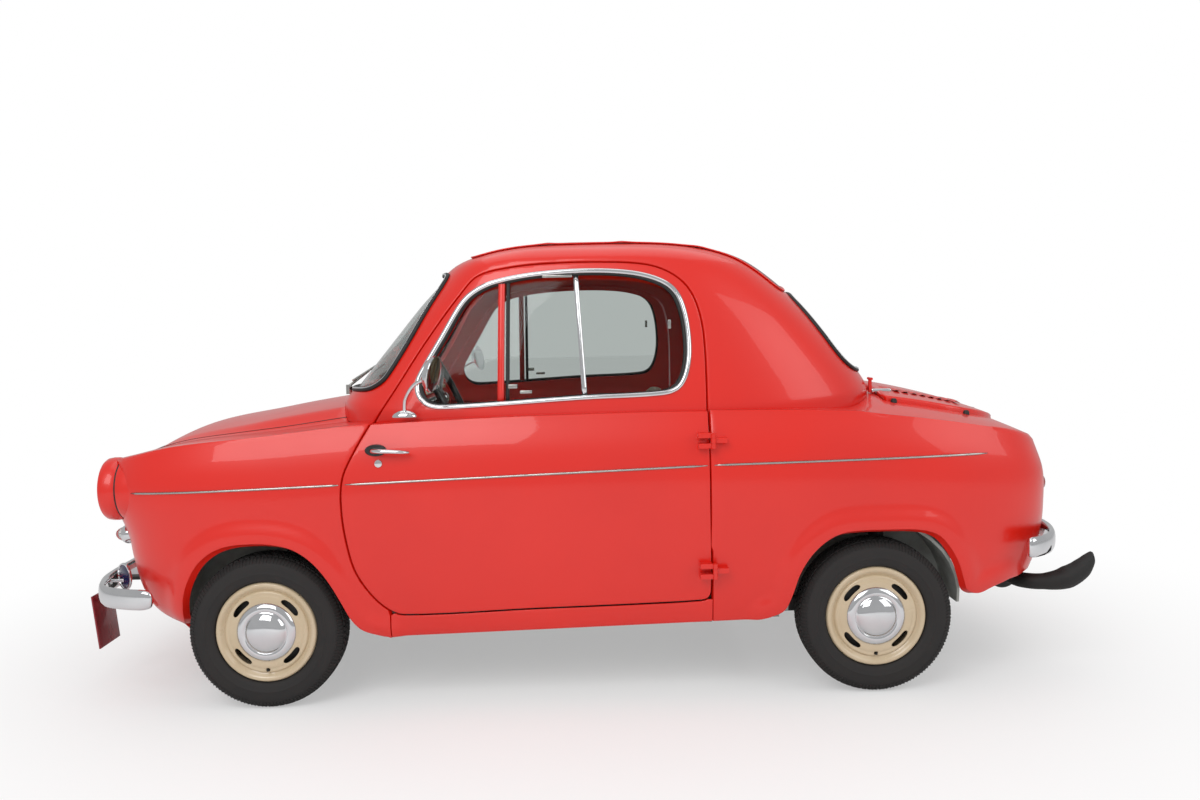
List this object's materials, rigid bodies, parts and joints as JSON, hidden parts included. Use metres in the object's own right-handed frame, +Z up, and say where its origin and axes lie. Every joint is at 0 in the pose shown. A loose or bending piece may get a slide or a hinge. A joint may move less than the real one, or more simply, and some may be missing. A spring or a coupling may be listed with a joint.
{
  "type": "two-seat microcar coupe",
  "caption": "Two-seat rear-engined microcar coupe with rear-hinged doors, steered front wheels, roll-back fabric roof and opening engine lid.",
  "frame": {"origin": "on the ground under the middle of the car's bounding box", "axes": "+Z up, nose along -X, left side along -Y"},
  "size_m": [2.9576, 1.4284, 1.29],
  "materials": {
    "red_paint": "gloss enamel",
    "underbody": "satin underbody paint",
    "canvas": "coated roof cloth, woven",
    "glass": "clear",
    "seat_cloth": "ribbed cloth and leathercloth",
    "black_plastic": "moulded gloss",
    "engine_iron": "rough cast",
    "exhaust_black": "heat-proof matt paint",
    "chrome": "polished plating",
    "red_lens": "translucent moulded lens",
    "plate": "gloss enamel, blank",
    "tyre": "moulded black rubber",
    "cream_paint": "gloss enamel on pressed steel"
  },
  "bodies": {
    "chassis": {"floor_pan": "underbody", "front_body": "red_paint", "rear_body": "red_paint", "cabin_frame": "red_paint", "fabric_roof": "canvas", "windscreen": "glass", "rear_window": "glass", "wheelhouses": "underbody", "dashboard": "red_paint", "seat_left": "seat_cloth", "seat_right": "seat_cloth", "rear_bench": "seat_cloth", "steering_column": "black_plastic", "engine": "engine_iron", "exhaust": "exhaust_black", "front_bumper": "chrome", "rear_bumper": "chrome", "headlamps": "chrome", "side_lamps": "chrome", "tail_lamps": "red_lens", "grille": "chrome", "rear_plate": "plate", "front_plate": "plate", "wipers": "chrome", "front_suspension": "underbody", "rear_suspension": "underbody", "hinge_pins": "red_paint"},
    "steering_wheel": {"steering_wheel": "black_plastic"},
    "engine_lid": {"engine_lid": "red_paint"},
    "door_left": {"door_left": "red_paint", "door_glass_left": "glass", "mirror_left": "chrome", "hinge_leaves_left": "red_paint"},
    "door_right": {"door_right": "red_paint", "door_glass_right": "glass", "mirror_right": "chrome", "hinge_leaves_right": "red_paint"},
    "knuckle_left": {"knuckle_left": "underbody"},
    "knuckle_right": {"knuckle_right": "underbody"},
    "wheel_front_left": {"tyre_front_left": "tyre", "wheel_front_left": "cream_paint"},
    "wheel_front_right": {"tyre_front_right": "tyre", "wheel_front_right": "cream_paint"},
    "wheel_rear_left": {"tyre_rear_left": "tyre", "wheel_rear_left": "cream_paint"},
    "wheel_rear_right": {"tyre_rear_right": "tyre", "wheel_rear_right": "cream_paint"}
  },
  "joints": [
    {"name": "steer_left", "type": "hinge", "parent": "chassis", "child": "knuckle_left", "pos_m": [-0.885, -0.47, 0.215], "axis": [0, 0, 1], "range_deg": [-28, 28]},
    {"name": "steer_right", "type": "hinge", "parent": "chassis", "child": "knuckle_right", "pos_m": [-0.885, 0.47, 0.215], "axis": [0, 0, 1], "range_deg": [-28, 28]},
    {"name": "steering_wheel_turn", "type": "hinge", "parent": "chassis", "child": "steering_wheel", "pos_m": [-0.405, -0.245, 0.838], "axis": [0.9063, 0, 0.4226], "range_deg": [-336, 336]},
    {"name": "door_left_swing", "type": "hinge", "parent": "chassis", "child": "door_left", "pos_m": [0.354, -0.652, 0.55], "axis": [0, 0, 1], "range_deg": [0, 70]},
    {"name": "door_right_swing", "type": "hinge", "parent": "chassis", "child": "door_right", "pos_m": [0.354, 0.652, 0.55], "axis": [0, 0, -1], "range_deg": [0, 70]},
    {"name": "engine_lid_lift", "type": "hinge", "parent": "chassis", "child": "engine_lid", "pos_m": [0.872, 0, 0.862], "axis": [0, -1, 0], "range_deg": [0, 60]},
    {"name": "spin_front_left", "type": "hinge", "parent": "knuckle_left", "child": "wheel_front_left", "pos_m": [-0.885, -0.548, 0.215], "axis": [0, 1, 0], "continuous": true},
    {"name": "spin_front_right", "type": "hinge", "parent": "knuckle_right", "child": "wheel_front_right", "pos_m": [-0.885, 0.548, 0.215], "axis": [0, 1, 0], "continuous": true},
    {"name": "spin_rear_left", "type": "hinge", "parent": "chassis", "child": "wheel_rear_left", "pos_m": [0.808, -0.548, 0.215], "axis": [0, 1, 0], "continuous": true},
    {"name": "spin_rear_right", "type": "hinge", "parent": "chassis", "child": "wheel_rear_right", "pos_m": [0.808, 0.548, 0.215], "axis": [0, 1, 0], "continuous": true}
  ],
  "couplings": [
    {"joint": "steer_right", "follows": "steer_left", "ratio": 1},
    {"joint": "steering_wheel_turn", "follows": "steer_left", "ratio": 12}
  ]
}
